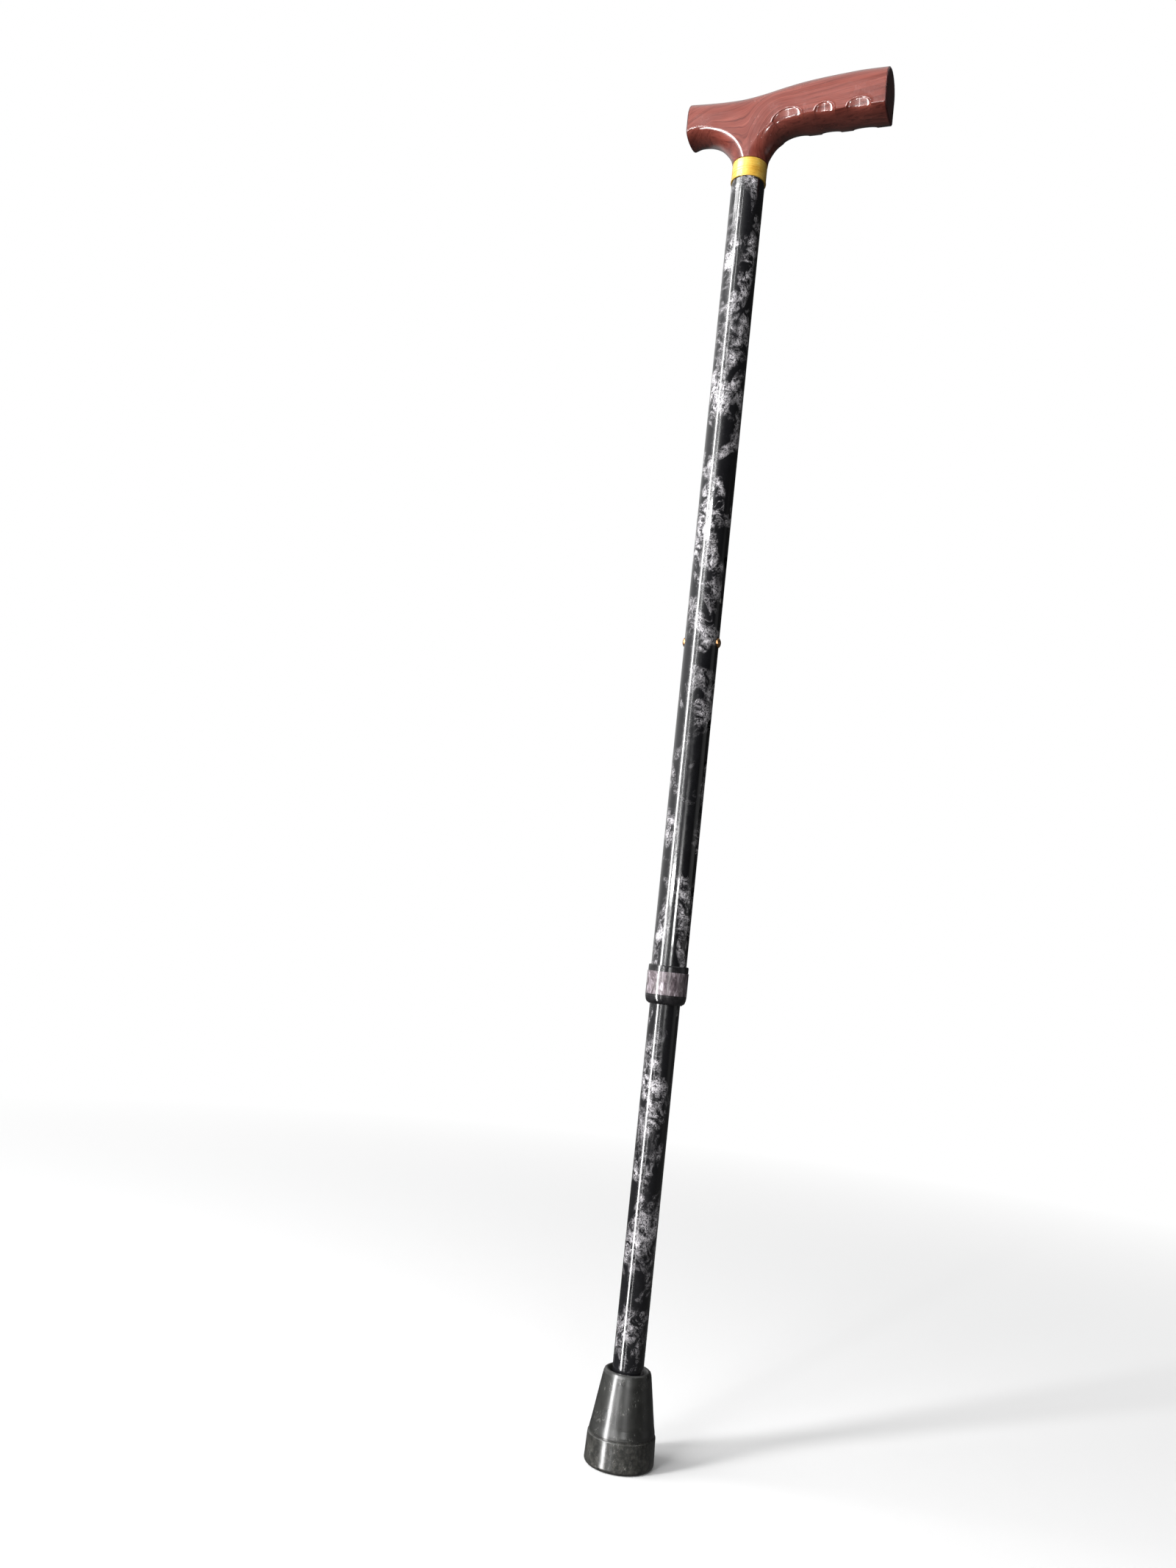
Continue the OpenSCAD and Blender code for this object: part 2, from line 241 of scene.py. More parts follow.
class Shader:
    """A material with one Principled shader, and short calls for the nodes that feed it."""

    def __init__(self, name, base, rough, metal=0.0, specular=0.5, coat=0.0, coat_rough=0.03, ior=1.5):
        self.material = bpy.data.materials.new(name)
        self.material.use_nodes = True
        self.tree = self.material.node_tree
        self.tree.nodes.clear()
        self.output = self.add("ShaderNodeOutputMaterial")
        self.bsdf = self.add("ShaderNodeBsdfPrincipled")
        self.link(self.bsdf.outputs[0], self.output.inputs["Surface"])
        put = {"Base Color": (*base, 1), "Roughness": rough, "Metallic": metal, "IOR": ior,
               "Specular IOR Level": specular, "Coat Weight": coat, "Coat Roughness": coat_rough}
        for socket, value in put.items():
            self.bsdf.inputs[socket].default_value = value
        self.place = self.add("ShaderNodeTexCoord").outputs["Object"]

    def add(self, kind, **settings):
        node = self.tree.nodes.new(kind)
        for key, value in settings.items():
            setattr(node, key, value)
        return node

    def link(self, a, b):
        self.tree.links.new(a, b)

    def feed(self, socket, value):
        if isinstance(value, bpy.types.NodeSocket):
            self.link(value, socket)
        else:
            socket.default_value = value

    def to(self, name, value):
        self.link(value, self.bsdf.inputs[name])

    def math(self, operation, a, b=None, c=None, clamp=False):
        node = self.add("ShaderNodeMath", operation=operation, use_clamp=clamp)
        for socket, value in zip(node.inputs, (a, b, c)):
            if value is not None:
                self.feed(socket, value)
        return node.outputs[0]

    def vector(self, operation, a, b):
        node = self.add("ShaderNodeVectorMath", operation=operation)
        self.feed(node.inputs[0], a)
        self.feed(node.inputs[1], b)
        return node.outputs[0]

    def axes(self):
        node = self.add("ShaderNodeSeparateXYZ")
        self.link(self.place, node.inputs[0])
        return node.outputs[0], node.outputs[1], node.outputs[2]

    def join(self, x, y, z):
        node = self.add("ShaderNodeCombineXYZ")
        for socket, value in zip(node.inputs, (x, y, z)):
            self.feed(socket, value)
        return node.outputs[0]

    def noise(self, scale, detail=2.0, rough=0.5, distort=0.0, at=None, stretch=None):
        """Noise of scale features per metre, in coordinates stretched along each axis."""
        vector = at or self.place
        if stretch:
            vector = self.vector("MULTIPLY", vector, stretch)
        node = self.add("ShaderNodeTexNoise")
        self.link(vector, node.inputs["Vector"])
        for socket, value in (("Scale", scale), ("Detail", detail), ("Roughness", rough),
                              ("Distortion", distort)):
            node.inputs[socket].default_value = value
        return node.outputs[0]

    def ramp(self, value, *stops):
        """Numbers or colours at positions along a ramp."""
        node = self.add("ShaderNodeValToRGB")
        self.link(value, node.inputs[0])
        elements = node.color_ramp.elements
        while len(elements) < len(stops):
            elements.new(0.5)
        for element, (position, colour) in zip(elements, stops):
            element.position = position
            colour = colour if isinstance(colour, tuple) else (colour,) * 3
            element.color = (*colour, 1)
        return node.outputs[0]

    def mix(self, share, a, b):
        node = self.add("ShaderNodeMix", data_type="RGBA")
        self.feed(node.inputs[0], share)
        for socket, value in zip((node.inputs[6], node.inputs[7]), (a, b)):
            self.feed(socket, (*value, 1) if isinstance(value, tuple) else value)
        return node.outputs[2]

    def bump(self, height, strength, depth_mm, under=None, name="Normal"):
        """Feeds a bump to the shader's normal, on top of the bump under it."""
        node = self.add("ShaderNodeBump")
        node.inputs["Strength"].default_value = strength
        node.inputs["Distance"].default_value = depth_mm * MM
        self.link(height, node.inputs["Height"])
        if under is not None:
            self.link(under, node.inputs["Normal"])
        self.to(name, node.outputs[0])
        return node.outputs[0]

    def specks(self, scale, size):
        """White dots in a random scatter, size being their share of a cell."""
        node = self.add("ShaderNodeTexVoronoi", feature="F1")
        node.inputs["Scale"].default_value = scale
        node.inputs["Randomness"].default_value = 1.0
        self.link(self.place, node.inputs["Vector"])
        return self.ramp(node.outputs["Distance"], (size * 0.5, 1.0), (size, 0.0))

    def fine_scratches(self, scale, share):
        """Hair-like lines that run along z, where share is how much of the surface has them."""
        lines = self.noise(scale, 3, 0.7, 0.3, stretch=(1, 1, 0.03))
        patches = self.noise(scale * 0.02, 2, 0.5)
        lines = self.ramp(lines, (0.62, 0.0), (0.66, 1.0))
        patches = self.ramp(patches, (1 - share, 0.0), (1.1 - share, 1.0))
        return self.math("MULTIPLY", lines, patches)


def assign(piece, material):
    piece.data.materials.clear()
    piece.data.materials.append(material)
    for polygon in piece.data.polygons:
        polygon.material_index = 0


GRAIN_TURN_X = 0.022
GRAIN_TURN_Z = 0.012
GRAIN_SLOPE = 0.13
GRAIN_FORK_X = 0.006


def wood_plastic():
    """Wood-grain film under gloss. The grain follows the long arm and turns down the neck."""
    s = Shader("wood_grain", base=(0.24, 0.06, 0.04), rough=0.24, coat=0.8, coat_rough=0.04)
    x, y, z = s.axes()
    rise = s.math("SUBTRACT", z, SEAT_Z + GRAIN_TURN_Z)
    rise = s.math("SUBTRACT", rise, s.math("MULTIPLY", x, GRAIN_SLOPE))
    wobble = s.noise(26, 2, 0.5, 0.0, stretch=(0.6, 1, 1.0))
    wobble = s.math("MULTIPLY", s.math("SUBTRACT", wobble, 0.5), 0.012)
    up = s.math("MAXIMUM", rise, 0.0)
    left = s.math("MAXIMUM", s.math("SUBTRACT", GRAIN_TURN_X, x), 0.0)
    away = s.math("SQRT", s.math("ADD", s.math("MULTIPLY", up, up), s.math("MULTIPLY", left, left)))
    # left of the neck the grain lies along the short arm
    across_neck = s.math("ABSOLUTE", s.math("ADD", x, GRAIN_FORK_X))
    turned = s.ramp(s.math("MULTIPLY_ADD", x, -20, 0.1), (0.1, 0.0), (0.6, 1.0))
    short_arm = s.math("ADD", rise, s.math("MULTIPLY", across_neck, 0.55))
    field = s.math("ADD", s.math("MULTIPLY", away, s.math("SUBTRACT", 1.0, turned)),
                   s.math("MULTIPLY", short_arm, turned))
    field = s.math("ADD", field, wobble)
    along = s.math("MULTIPLY", s.math("SUBTRACT", x, z), 0.03)
    grain_at = s.join(along, s.math("MULTIPLY", y, 0.3), field)
    broad = s.noise(420, 3, 0.6, 0.1, at=grain_at)
    fine = s.noise(1300, 3, 0.65, 0.1, at=grain_at)
    pores = s.noise(3000, 2, 0.6, 0.1, at=grain_at)
    colour = s.ramp(broad, (0.26, (0.085, 0.014, 0.009)), (0.42, (0.16, 0.035, 0.025)),
                    (0.55, (0.20, 0.047, 0.034)), (0.74, (0.25, 0.066, 0.048)))
    dark_lines = s.ramp(fine, (0.32, 1.0), (0.42, 0.3), (0.47, 0.0))
    colour = s.mix(s.math("MULTIPLY", dark_lines, 0.7), colour, (0.055, 0.009, 0.007))
    pale_lines = s.ramp(fine, (0.6, 0.0), (0.74, 1.0))
    colour = s.mix(s.math("MULTIPLY", pale_lines, 0.25), colour, (0.42, 0.13, 0.095))
    pore_lines = s.ramp(pores, (0.3, 1.0), (0.4, 0.0))
    colour = s.mix(s.math("MULTIPLY", pore_lines, 0.4), colour, (0.08, 0.013, 0.01))
    smudge = s.ramp(s.noise(45, 3, 0.6, 0.6), (0.60, 0.0), (0.72, 0.6))
    colour = s.mix(smudge, colour, (0.09, 0.012, 0.008))
    dust = s.specks(420, 0.1)
    kept = s.ramp(s.noise(60, 2, 0.5), (0.56, 0.0), (0.62, 1.0))
    colour = s.mix(s.math("MULTIPLY", s.math("MULTIPLY", dust, kept), 0.7), colour, (0.75, 0.6, 0.55))
    s.to("Base Color", colour)
    smear = s.noise(70, 3, 0.6)
    s.to("Roughness", s.ramp(smear, (0.3, 0.16), (0.7, 0.3)))
    s.to("Coat Roughness", s.ramp(s.noise(180, 3, 0.6), (0.35, 0.03), (0.75, 0.10)))
    s.bump(fine, 0.12, 0.15)
    s.bump(s.noise(150, 2, 0.5), 0.10, 0.3, name="Coat Normal")
    return s.material


def cap_plastic():
    s = Shader("cap_maroon", base=(0.07, 0.014, 0.012), rough=0.3, coat=0.5, coat_rough=0.08)
    mottle = s.noise(180, 4, 0.6, 0.2)
    s.to("Base Color", s.ramp(mottle, (0.3, (0.05, 0.009, 0.008)), (0.7, (0.11, 0.021, 0.018))))
    rub = s.fine_scratches(1500, 0.45)
    s.to("Roughness", s.ramp(s.math("ADD", s.math("MULTIPLY", rub, 0.4), mottle), (0.3, 0.24), (0.9, 0.5)))
    s.bump(s.noise(2500, 3, 0.6), 0.15, 0.05)
    return s.material


def marble_film(name, base, veil, strand, cover):
    """A lacquered film: clusters of pale strands and smudges on a dark ground."""
    s = Shader(name, base=base, rough=0.2, coat=1.0, coat_rough=0.03)
    warp = s.noise(38, 3, 0.6, 0.6)
    clusters = s.noise(40, 3, 0.55, 0.9, stretch=(1.0, 1.0, 0.7))
    clusters = s.ramp(clusters, (cover, 0.0), (cover + 0.16, 1.0))
    ridges = s.noise(300, 6, 0.66, 1.8)
    ridges = s.math("ABSOLUTE", s.math("SUBTRACT", ridges, 0.5))
    strands = s.ramp(ridges, (0.0, 1.0), (0.035, 0.6), (0.075, 0.0))
    hairs = s.noise(700, 5, 0.7, 2.2, stretch=(1, 1, 0.45))
    hairs = s.ramp(hairs, (0.52, 0.0), (0.66, 1.0))
    smudge = s.noise(120, 5, 0.65, 1.2)
    smudge = s.ramp(smudge, (0.42, 0.0), (0.6, 1.0))
    body = s.math("MULTIPLY", s.math("ADD", strands, s.math("MULTIPLY", hairs, 0.95)), smudge, clamp=True)
    amount = s.math("MULTIPLY", body, clusters, clamp=True)
    haze = s.math("MULTIPLY", s.math("MULTIPLY", clusters, smudge), 0.14)
    ground = s.mix(haze, s.ramp(warp, (0.3, base), (0.7, tuple(c * 1.7 for c in base))), veil)
    colour = s.mix(amount, ground, strand)
    s.to("Base Color", colour)
    rub = s.fine_scratches(1300, 0.4)
    s.to("Coat Roughness", s.ramp(s.math("ADD", s.math("MULTIPLY", rub, 0.5), s.noise(90, 3, 0.6)),
                                  (0.4, 0.025), (1.0, 0.16)))
    s.to("Roughness", s.ramp(s.noise(300, 3, 0.6), (0.3, 0.16), (0.7, 0.3)))
    s.bump(s.noise(420, 2, 0.5), 0.025, 0.12, name="Coat Normal")
    s.bump(amount, 0.1, 0.05)
    return s.material


def band_film():
    """The lock nut's pale band: grey and mauve, streaked along the shaft."""
    s = Shader("pale_marble", base=(0.13, 0.105, 0.115), rough=0.28, coat=0.9, coat_rough=0.05)
    streaks = s.noise(330, 5, 0.68, 1.4, stretch=(1, 1, 0.32))
    colour = s.ramp(streaks, (0.30, (0.012, 0.010, 0.013)), (0.43, (0.085, 0.066, 0.075)),
                    (0.53, (0.19, 0.155, 0.17)), (0.62, (0.42, 0.37, 0.41)), (0.72, (0.80, 0.74, 0.80)))
    patches = s.noise(75, 3, 0.6, 0.5)
    colour = s.mix(s.ramp(patches, (0.48, 0.0), (0.68, 0.5)), colour, (0.14, 0.115, 0.12))
    s.to("Base Color", colour)
    s.to("Roughness", s.ramp(s.noise(240, 3, 0.6), (0.3, 0.2), (0.7, 0.4)))
    s.bump(streaks, 0.15, 0.06)
    return s.material


def black_plastic():
    s = Shader("black_gloss", base=(0.012, 0.012, 0.013), rough=0.18, coat=0.6, coat_rough=0.04)
    mottle = s.noise(260, 4, 0.6, 0.4)
    s.to("Base Color", s.ramp(mottle, (0.35, (0.008, 0.008, 0.009)), (0.75, (0.028, 0.026, 0.028))))
    rub = s.fine_scratches(2200, 0.55)
    s.to("Roughness", s.ramp(s.math("ADD", s.math("MULTIPLY", rub, 0.5), mottle), (0.3, 0.14), (1.0, 0.42)))
    s.bump(s.noise(1800, 3, 0.6), 0.1, 0.04)
    return s.material


def gold_metal():
    """Anodised gold with fine turning lines round the shaft."""
    s = Shader("gold", base=(0.9, 0.55, 0.12), rough=0.26, metal=0.25, coat=0.5, coat_rough=0.1)
    x, y, z = s.axes()
    turning_at = s.join(s.math("MULTIPLY", x, 0.02), s.math("MULTIPLY", y, 0.02), z)
    turning = s.noise(5200, 2, 0.6, 0.0, at=turning_at)
    stain = s.noise(110, 4, 0.6, 0.4)
    colour = s.ramp(stain, (0.3, (0.76, 0.42, 0.05)), (0.5, (0.90, 0.58, 0.10)), (0.75, (0.98, 0.76, 0.24)))
    colour = s.mix(s.ramp(turning, (0.35, 0.3), (0.6, 0.0)), colour, (0.5, 0.24, 0.03))
    s.to("Base Color", colour)
    s.to("Roughness", s.ramp(turning, (0.3, 0.34), (0.7, 0.2)))
    s.bump(turning, 0.2, 0.03)
    return s.material


def brass_button():
    s = Shader("button_brass", base=(0.6, 0.36, 0.16), rough=0.35, metal=1.0)
    wear = s.noise(900, 4, 0.65, 0.4)
    s.to("Base Color", s.ramp(wear, (0.3, (0.35, 0.16, 0.07)), (0.55, (0.66, 0.38, 0.17)),
                              (0.75, (0.85, 0.66, 0.42))))
    s.to("Roughness", s.ramp(wear, (0.3, 0.5), (0.7, 0.22)))
    s.bump(s.noise(3500, 3, 0.6), 0.25, 0.04)
    return s.material


def tip_rubber():
    """Dark grey satin rubber with scuffs, moulding bloom and a dusty foot."""
    s = Shader("rubber", base=(0.02, 0.02, 0.018), rough=0.34, specular=0.8, coat=0.7, coat_rough=0.22)
    z = s.axes()[2]
    bloom = s.noise(85, 4, 0.6, 0.5)
    colour = s.ramp(bloom, (0.3, (0.011, 0.0112, 0.0105)), (0.7, (0.03, 0.0305, 0.028)))
    scuff_lines = s.noise(1500, 4, 0.75, 1.0, at=s.vector("MULTIPLY", s.place, (1.0, 1.0, 0.35)))
    scuff_lines = s.ramp(scuff_lines, (0.56, 0.0), (0.66, 1.0))
    scuff_here = s.ramp(s.noise(130, 3, 0.6, 0.8), (0.52, 0.0), (0.60, 1.0))
    scuffs = s.math("MULTIPLY", scuff_lines, scuff_here)
    colour = s.mix(s.math("MULTIPLY", scuffs, 0.6), colour, (0.42, 0.42, 0.39))
    foot = s.ramp(s.math("MULTIPLY", z, 1 / TIP_TOP_Z), (0.0, 1.0), (0.33, 0.55), (0.37, 0.0))
    dust = s.math("MULTIPLY", foot, s.ramp(s.noise(420, 5, 0.7), (0.42, 0.0), (0.7, 1.0)))
    colour = s.mix(s.math("MULTIPLY", dust, 0.5), colour, (0.2, 0.19, 0.17))
    s.to("Base Color", colour)
    rough = s.math("ADD", s.ramp(s.noise(230, 4, 0.6), (0.3, 0.26), (0.7, 0.40)),
                   s.math("MULTIPLY", scuffs, 0.2))
    s.to("Roughness", rough)
    grain = s.bump(s.noise(2400, 3, 0.65), 0.16, 0.05)
    s.bump(scuffs, 0.35, 0.12, under=grain)
    return s.material


def plain_metal(name, base, rough):
    """Turned or drawn metal: fine lines, stains and a little colour change."""
    s = Shader(name, base=base, rough=rough, metal=1.0)
    lines = s.noise(1400, 3, 0.6, 0.0, stretch=(0.05, 0.05, 1))
    stain = s.noise(160, 4, 0.6, 0.4)
    s.to("Base Color", s.mix(s.ramp(stain, (0.35, 0.5), (0.65, 0.0)), base, tuple(c * 0.6 for c in base)))
    s.to("Roughness", s.ramp(lines, (0.3, rough + 0.15), (0.7, rough)))
    s.bump(lines, 0.2, 0.03)
    return s.material


def dull_plastic(name, base):
    """Unpolished moulded plastic, mottled."""
    s = Shader(name, base=base, rough=0.55)
    mottle = s.noise(220, 4, 0.6, 0.3)
    s.to("Base Color", s.mix(s.ramp(mottle, (0.35, 0.4), (0.7, 0.0)), base, tuple(c * 0.7 for c in base)))
    s.to("Roughness", s.ramp(s.noise(500, 3, 0.6), (0.3, 0.45), (0.7, 0.68)))
    s.bump(s.noise(2200, 3, 0.6), 0.2, 0.05)
    return s.material


# ---------------------------------------------------------------- handle, in millimetres above its seat

NECK_R = 11.2
LAST_TURN = 84
LONG_ARM = 85.0
# the finger side starts at this x and lies at this height
FINGER_X, FINGER_Z = 37.5, 21.2
PALM_Z, PALM_RISE = 44.2, 8.7
EDGE_ROUND, PALM_ROUND = 2.9, 12.0
# how much wider each side is per millimetre of x and of height
WIDEN_X, WIDEN_Z = 0.009, 0.031
NECK_IN = NECK_R * (1 - math.cos(math.radians(LAST_TURN)))
# the palm line: x, and the share of the palm's rise
PALM_SHAPE = ((-41, 0.17), (-29, 0.06), (-17, 0), (-5, 0.02), (8, 0.22), (20, 0.49), (32, 0.71),
              (44, 0.85), (57, 0.94), (70, 1), (85, 0.96))
# the underside from the short end to the neck, and from the neck to the fingers: x and height of its middle,
# then how far its edges lie from that along x and up
HEEL_ROWS = ((-41, 18.2, 0, 5), (-36, 19.7, 0, 5), (-29, 19, 1, 5), (-22, 15.3, 4, 5.5),
             (-16.5, 10, 7, 5), (-13, 5, 9, 2.5), (-NECK_R, 0, NECK_IN, 0))
CROOK_ROWS = ((NECK_R, 0, -NECK_IN, 0), (12, 5, -9.2, 2), (15.5, 12.2, -7.5, 3), (19.5, 16.6, -5, 3.8),
              (24, 19.1, -2.5, 4), (29, 20.5, -0.5, 3.6), (33.5, 21, 0, 3.2),
              (FINGER_X, FINGER_Z, 0, EDGE_ROUND))
# each finger scoop is a half ellipse on the side: its middle and half its length, along x
SCOOPS = ((24.5, 9.5), (48.2, 6.3), (69.5, 7.5))
SCOOP_RISE, SCOOP_DEPTH, SCOOP_EDGE = 5.0, 1.7, 0.35
# the raised lip round each scoop
LIP_HIGH, LIP_WIDE = 0.34, 0.5
# how finely the mesh is divided; heights up a side are at least LEAST_STEP apart from its edges
ROWS_A_STRETCH, ROWS_A_FINGER_SIDE, ROWS_A_PALM_STRETCH = 14, 150, 24
STEPS_ROUND, STEPS_UP, STEPS_OVER_EDGE = 20, 26, 7
LEAST_STEP = 0.02
# low and high corners of the hollow in each arm, and the stem's bore
LONG_POCKET = (22, -8.6, 25), (87, 8.6, 45)
SHORT_POCKET = (-43, -7.5, 22), (-14, 7.5, 37)
BORE_R, BORE_FROM, BORE_TO, BORE_SIDES = 8, -1, 32.5, 96
SMOOTH_DEG = 24


def curve(rows, n):
    """A smooth curve through the rows, with the last row left out."""
    rows = [np.array(r, float) for r in rows]
    found = []
    for i in range(len(rows) - 1):
        a, b, c, d = (rows[min(len(rows) - 1, max(0, i + k))] for k in (-1, 0, 1, 2))
        for k in range(n):
            t = k / n
            found.append((2 * b + (c - a) * t + (2 * a - 5 * b + 4 * c - d) * t * t
                          + (3 * b - a - 3 * c + d) * t ** 3) / 2)
    return found


PALM_LINE = np.array(curve(PALM_SHAPE, ROWS_A_PALM_STRETCH))


def palm_z(x):
    """The height of the palm line."""
    return PALM_Z + PALM_RISE * float(np.interp(x, PALM_LINE[:, 0], PALM_LINE[:, 1]))


def scoop(x):
    """The share of a scoop's full rise and depth that it has at x, along its half ellipse."""
    return max(math.sqrt(1 - ((x - at) / half) ** 2) if abs(x - at) < half else 0.0 for at, half in SCOOPS)


def lip(x, up):
    """How far the moulded lip round a scoop stands out, at a height over the side's lower edge."""
    high = 0.0
    for at, half in SCOOPS:
        u, v = (x - at) / half, up / SCOOP_RISE
        steep = 2 * math.hypot(u / half, v / SCOOP_RISE)
        away = (u * u + v * v - 1) / max(steep, 1e-6)
        high = max(high, LIP_HIGH * math.exp(-((away / LIP_WIDE) ** 2)))
    return high


def handle_rows():
    """Matching rows from end to end of the handle, along its underside and its palm."""
    n = ROWS_A_STRETCH
    neck = [np.array(HEEL_ROWS[-1], float), np.array(CROOK_ROWS[0], float)]
    under = curve(HEEL_ROWS, n) + [neck[0] + (neck[1] - neck[0]) * k / n for k in range(n)]
    under += curve(CROOK_ROWS, n)
    step = (LONG_ARM - FINGER_X) / ROWS_A_FINGER_SIDE
    under += [np.array([FINGER_X + step * k, FINGER_Z, 0, EDGE_ROUND]) for k in range(ROWS_A_FINGER_SIDE + 1)]
    return under, [np.array([r[0] + r[2], palm_z(r[0] + r[2]), 0, -PALM_ROUND]) for r in under]


def side_y(x, z):
    """Half the handle's width."""
    return NECK_R + WIDEN_X * x + WIDEN_Z * z


def ring_point(row, turn, scooped):
    """A point of the rounded underside or palm, turned from its middle, where a scoop takes width away."""
    a, last = math.radians(turn), math.radians(LAST_TURN)
    inward = (1 - math.cos(a)) / (1 - math.cos(last))
    x, z = row[0] + row[2] * inward, row[1] + row[3] * inward
    return x, (side_y(x, z) - scooped) * math.sin(a) / math.sin(last), z


def side_points(low, high):
    """One flat side from its lower edge up, with the scoop cut into it and a rounded edge round the scoop."""
    x = low[0] + low[2]
    foot, head = low[1] + low[3], high[1] + high[3]
    depth = SCOOP_DEPTH * scoop(x)
    rise = SCOOP_RISE * scoop(x)
    top = foot + rise
    slope = SCOOP_DEPTH / SCOOP_RISE
    fine = [top + SCOOP_EDGE * k / 3 for k in range(-STEPS_OVER_EDGE, STEPS_OVER_EDGE + 1)]
    spare = STEPS_UP - len(fine)
    fine = [max(foot + LEAST_STEP * (k + 1), min(head - LEAST_STEP * (len(fine) - k), z))
            for k, z in enumerate(fine)]
    coarse = [foot + (head - foot) * k / (spare + 1) for k in range(1, spare + 1)]
    found = []
    for z in sorted(fine + coarse):
        under = top - z
        edge = SCOOP_EDGE * min(1.0, rise)
        cut_in = slope * 0.5 * (under + math.sqrt(under * under + edge * edge)) if depth > 0 else 0.0
        found.append((x, side_y(x, z) - min(cut_in, depth) + lip(x, z - foot), z))
    return found


def in_place(x, y, z):
    """Metres in the shared frame, from millimetres above the handle's seat."""
    return x * MM, y * MM, z * MM + SEAT_Z


def handle_ring(low, high):
    """The handle's section: its underside, one side, its palm and the other side."""
    turns = [k * LAST_TURN / STEPS_ROUND for k in range(-STEPS_ROUND, STEPS_ROUND + 1)]
    cut_in = SCOOP_DEPTH * scoop(low[0] + low[2])
    side = side_points(low, high)
    ring = [ring_point(low, t, cut_in) for t in turns] + side
    ring += [ring_point(high, t, 0) for t in reversed(turns)]
    ring += [(x, -y, z) for x, y, z in reversed(side)]
    return [in_place(*point) for point in ring]


def box_mesh(name, low, high):
    corners = [(x, y, z) for x in (low[0], high[0]) for y in (low[1], high[1]) for z in (low[2], high[2])]
    faces = [(0, 1, 3, 2), (4, 6, 7, 5), (0, 4, 5, 1), (2, 3, 7, 6), (0, 2, 6, 4), (1, 5, 7, 3)]
    return mesh_object(name, corners, faces)


def round_mesh(name, radius, low, high, sides):
    points = [(x, y, z) for z in (low, high) for x, y in circle(radius, sides)]
    walls = [(k, (k + 1) % sides, sides + (k + 1) % sides, sides + k) for k in range(sides)]
    ends = [tuple(range(sides))[::-1], tuple(range(sides, 2 * sides))]
    return mesh_object(name, points, walls + ends)


def mesh_object(name, points, faces):
    mesh = bpy.data.meshes.new(name)
    mesh.from_pydata(points, [], faces)
    mesh.update()
    made = bpy.data.objects.new(name, mesh)
    bpy.context.scene.collection.objects.link(made)
    return made


def cut(piece, cutters):
    """Cuts the cutters out of the piece, and leaves no modifier on it."""
    for cutter in cutters:
        modifier = piece.modifiers.new("cut", "BOOLEAN")
        modifier.operation = "DIFFERENCE"
        modifier.object = cutter
        modifier.solver = "EXACT"
    bpy.context.view_layer.update()
    evaluated = piece.evaluated_get(bpy.context.evaluated_depsgraph_get())
    mesh = bpy.data.meshes.new_from_object(evaluated)
    piece.modifiers.clear()
    old, piece.data = piece.data, mesh
    bpy.data.meshes.remove(old)
    mesh.name = piece.name
    for cutter in cutters:
        cutter_mesh = cutter.data
        bpy.data.objects.remove(cutter)
        bpy.data.meshes.remove(cutter_mesh)


def smooth(mesh, degrees):
    for polygon in mesh.polygons:
        polygon.use_smooth = True
    mesh.set_sharp_from_angle(angle=math.radians(degrees))


def make_handle():
    """The moulded handle, as the CAD draws it but smooth, hollow in both arms and bored for its stem."""
    rings = [handle_ring(low, high) for low, high in zip(*handle_rows())]
    points = [p for ring in rings for p in ring]
    n = len(rings[0])
    last = len(rings) - 1
    faces = [(i * n + j, i * n + (j + 1) % n, (i + 1) * n + (j + 1) % n, (i + 1) * n + j)
             for i in range(last) for j in range(n)]
    faces += [tuple(range(n))[::-1], tuple(last * n + j for j in range(n))]
    handle = mesh_object("handle", points, faces)
    long_pocket = box_mesh("cut_a", *(in_place(*corner) for corner in LONG_POCKET))
    short_pocket = box_mesh("cut_b", *(in_place(*corner) for corner in SHORT_POCKET))
    bore = round_mesh("cut_c", BORE_R * MM, SEAT_Z + BORE_FROM * MM, SEAT_Z + BORE_TO * MM, BORE_SIDES)
    cut(handle, [long_pocket, short_pocket, bore])
    smooth(handle.data, SMOOTH_DEG)
    assign(handle, wood_plastic())
    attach(handle, "upper_shaft")
    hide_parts("handle_body")


# ---------------------------------------------------------------- snap spring, in millimetres

STRIP_W = 7.0
STRIP_T = 0.5
STRIP_X = 5.9
# where the bend ends, and the leg's top
STRIP_BEND_Z = 438.5
STRIP_TOP_Z = 483.5
BEND_STEPS = 15
LEG_STEPS = 30


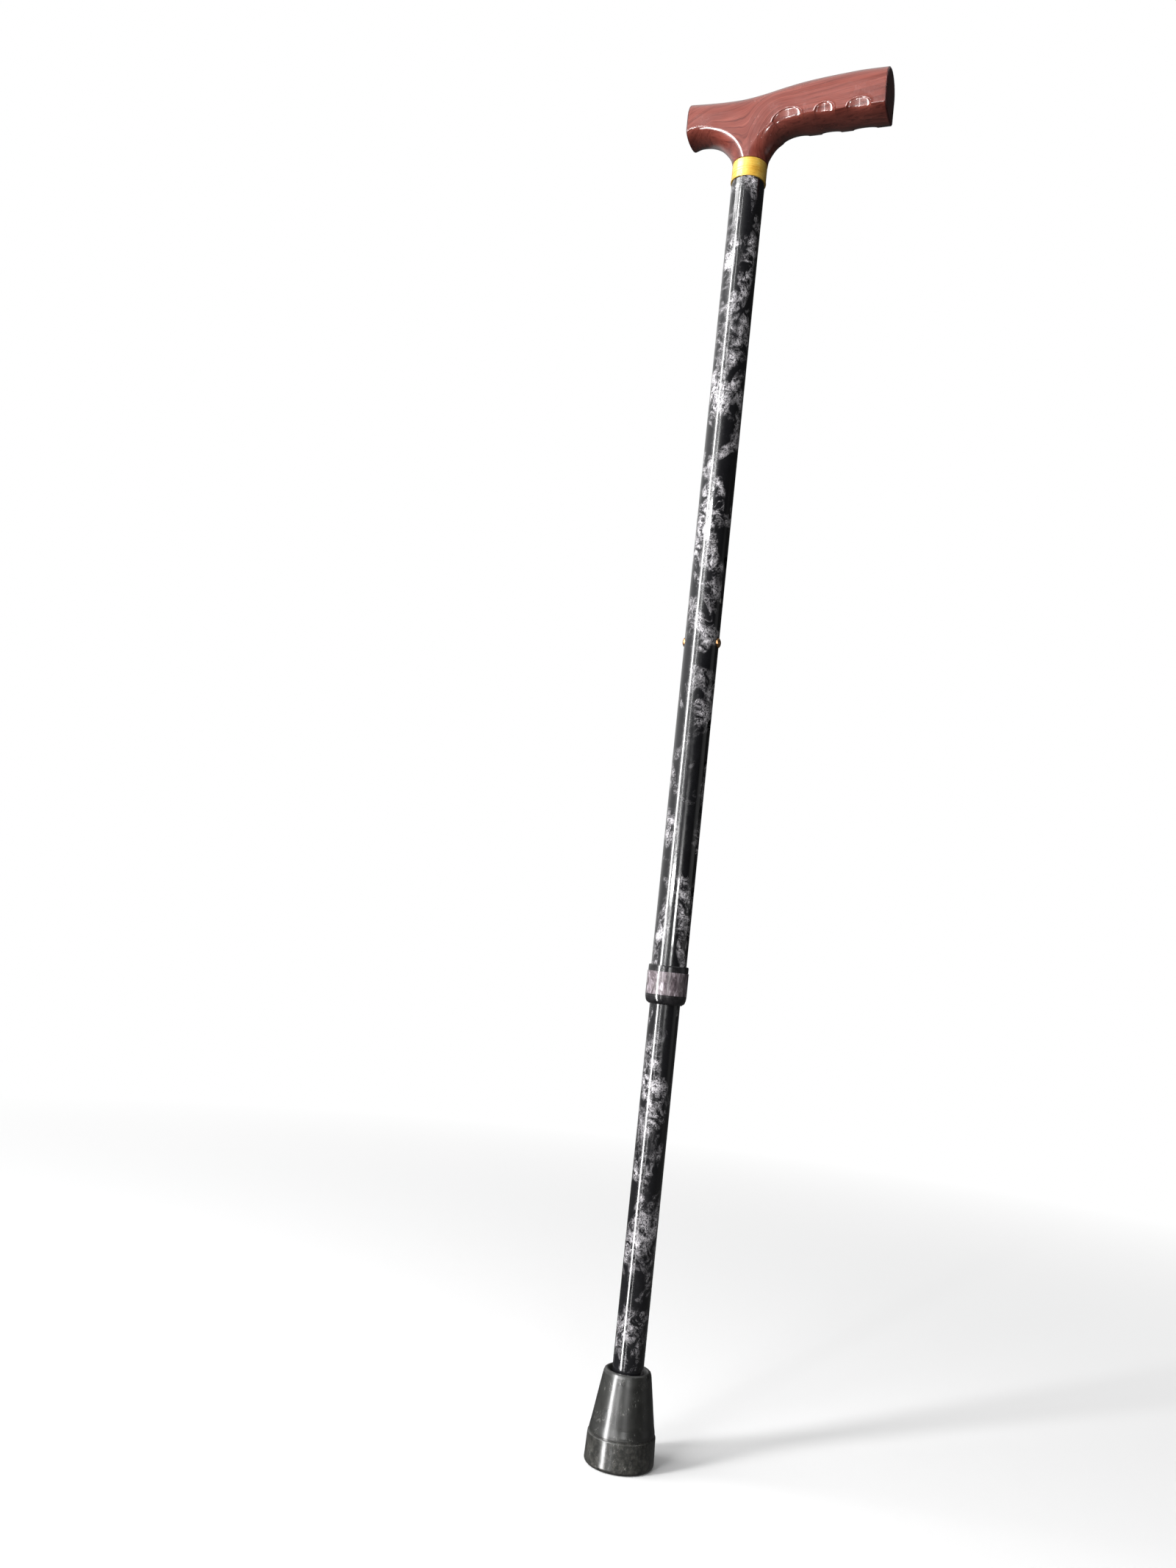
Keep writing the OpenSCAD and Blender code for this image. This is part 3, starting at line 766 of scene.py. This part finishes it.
def make_spring_leg(name, side, material):
    """Half of the U-shaped snap spring, from its bend's middle up one side."""
    bend = [math.radians(90 * k / BEND_STEPS) for k in range(BEND_STEPS + 1)]
    outline = [(STRIP_X * math.sin(a), -STRIP_X * math.cos(a), math.sin(a), -math.cos(a)) for a in bend]
    rise = STRIP_TOP_Z - STRIP_BEND_Z
    outline += [(STRIP_X, rise * k / LEG_STEPS, 1, 0) for k in range(1, LEG_STEPS + 1)]
    points = []
    for x, z, out_x, out_z in outline:
        for depth in (0, STRIP_T):
            for y in (-STRIP_W / 2, STRIP_W / 2):
                along, up = side * (x - depth * out_x), STRIP_BEND_Z + z - depth * out_z
                points.append((along * MM, y * MM, up * MM))
    order = (0, 1, 3, 2)
    faces = [tuple(4 * i + j for j in order) for i in (0, len(outline) - 1)]
    faces += [(4 * i + a, 4 * i + b, 4 * i + 4 + b, 4 * i + 4 + a)
              for i in range(len(outline) - 1) for a, b in zip(order, order[1:] + order[:1])]
    leg = mesh_object(name, points, faces)
    shell = bmesh.new()
    shell.from_mesh(leg.data)
    bmesh.ops.recalc_face_normals(shell, faces=shell.faces)
    shell.to_mesh(leg.data)
    shell.free()
    smooth(leg.data, SMOOTH_DEG)
    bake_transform(leg)
    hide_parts("snap_spring")
    assign(leg, material)


# ---------------------------------------------------------------- the object

def dress_nodes():
    """Gives every CAD node that stays its material."""
    film = marble_film("black_marble", base=(0.005, 0.005, 0.006), veil=(0.30, 0.29, 0.32),
                       strand=(1.0, 0.96, 1.0), cover=0.48)
    looks = (
        (cap_plastic(), "handle_cap_long", "handle_cap_short"),
        (gold_metal(), "gold_collar"),
        (film, "outer_tube", "inner_tube"),
        (black_plastic(), "lock_nut"),
        (band_film(), "nut_band"),
        (brass_button(), "snap_button_right", "snap_button_left"),
        (tip_rubber(), "rubber_tip"),
        (plain_metal("turned_aluminium", (0.75, 0.76, 0.78), 0.3), "handle_stem"),
        (plain_metal("plated_steel", (0.6, 0.6, 0.62), 0.3), "stem_pin", "tip_washer"),
        (dull_plastic("bush_black", (0.03, 0.03, 0.032)), "thread_bush"),
        (dull_plastic("nylon", (0.7, 0.68, 0.62)), "clamp_ring", "glide_plug"),
    )
    for material, *names in looks:
        for name in names:
            assign(nodes[name], material)


make_camera()
make_studio()
make_handle()
spring_steel = plain_metal("spring_steel", (0.5, 0.51, 0.53), 0.25)
make_spring_leg("spring_leg_right", 1, spring_steel)
make_spring_leg("spring_leg_left", -1, spring_steel)
dress_nodes()
